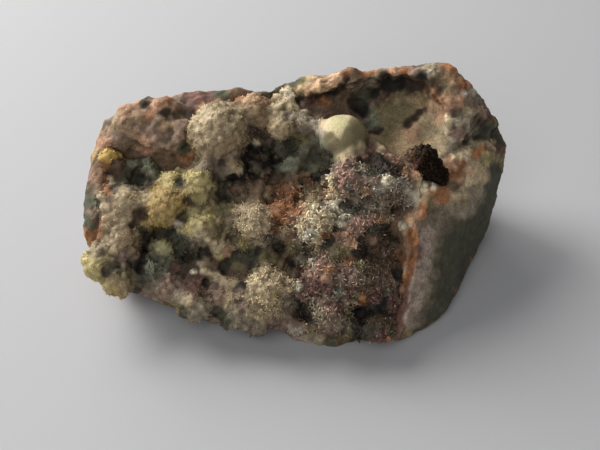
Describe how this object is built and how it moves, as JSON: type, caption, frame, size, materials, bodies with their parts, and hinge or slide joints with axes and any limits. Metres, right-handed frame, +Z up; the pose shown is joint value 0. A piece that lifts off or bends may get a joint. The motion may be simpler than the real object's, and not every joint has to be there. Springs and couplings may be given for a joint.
{
  "type": "aragonite mineral specimen on matrix",
  "caption": "Loose iron-stained rock with a flat underside, its tilted face an open vug lined with knobbly fuzzy aragonite.",
  "frame": {"origin": "middle of the underside of the whole specimen's box, on the surface it rests on", "axes": "+Z up, +X along the specimen's length to the right of the vug's face, +Y away from the side that the vug faces"},
  "size_m": [0.0888, 0.0532, 0.0393],
  "materials": {
    "host_rock": "rough broken rock with rusty and green-grey stains",
    "aragonite": "matt to silky needle crusts in cream, tan, yellow-green, mauve and rust",
    "iron_oxide": "dark brown, slightly lustrous crystals"
  },
  "bodies": {
    "root": {"matrix": "host_rock", "aragonite_crust": "aragonite", "iron_oxide_cluster": "iron_oxide"}
  },
  "joints": []
}
